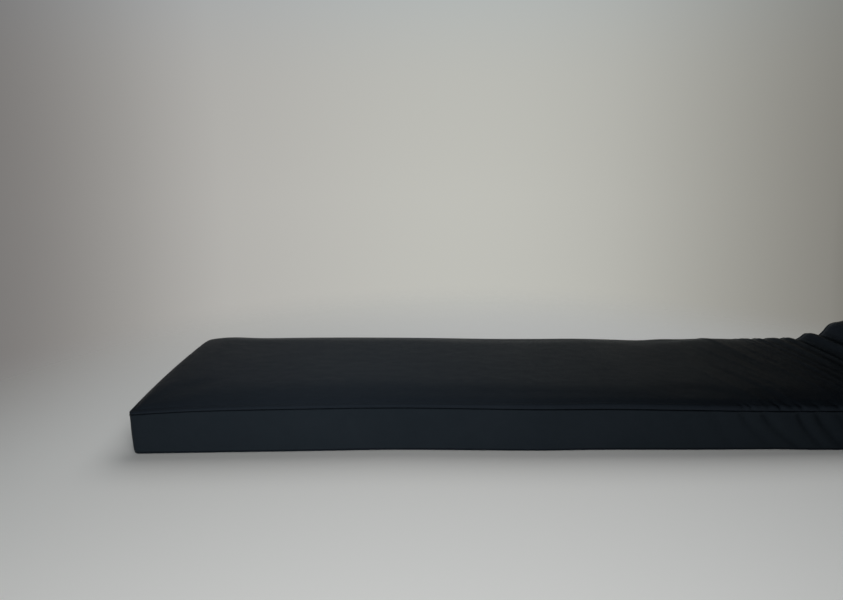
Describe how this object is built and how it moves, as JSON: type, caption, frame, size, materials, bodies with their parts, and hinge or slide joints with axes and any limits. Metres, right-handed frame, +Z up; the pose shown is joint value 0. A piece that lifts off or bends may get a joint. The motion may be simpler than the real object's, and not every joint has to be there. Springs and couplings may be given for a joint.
{
  "type": "lounge seat cushion",
  "caption": "Long near-black box cushion for a lounge seat: crowned upper panel with plain seams, boxing round the sides, and one end bent up in soft folds.",
  "frame": {"origin": "on the flat underside, below the middle of the cushion's length and depth as cut; the cushion lies on this face", "axes": "+X along the cushion from its flat left end to its raised right end, +Y from front to rear, +Z up"},
  "size_m": [2.157, 0.522, 0.2033],
  "materials": {
    "panel_cloth": "matt woven cloth, near-black with a slight blue-green cast",
    "boxing_cloth": "matt woven cloth, near-black with a slight blue-green cast"
  },
  "bodies": {
    "root": {"filled_body": "panel_cloth", "boxing_strip": "boxing_cloth"}
  },
  "joints": []
}
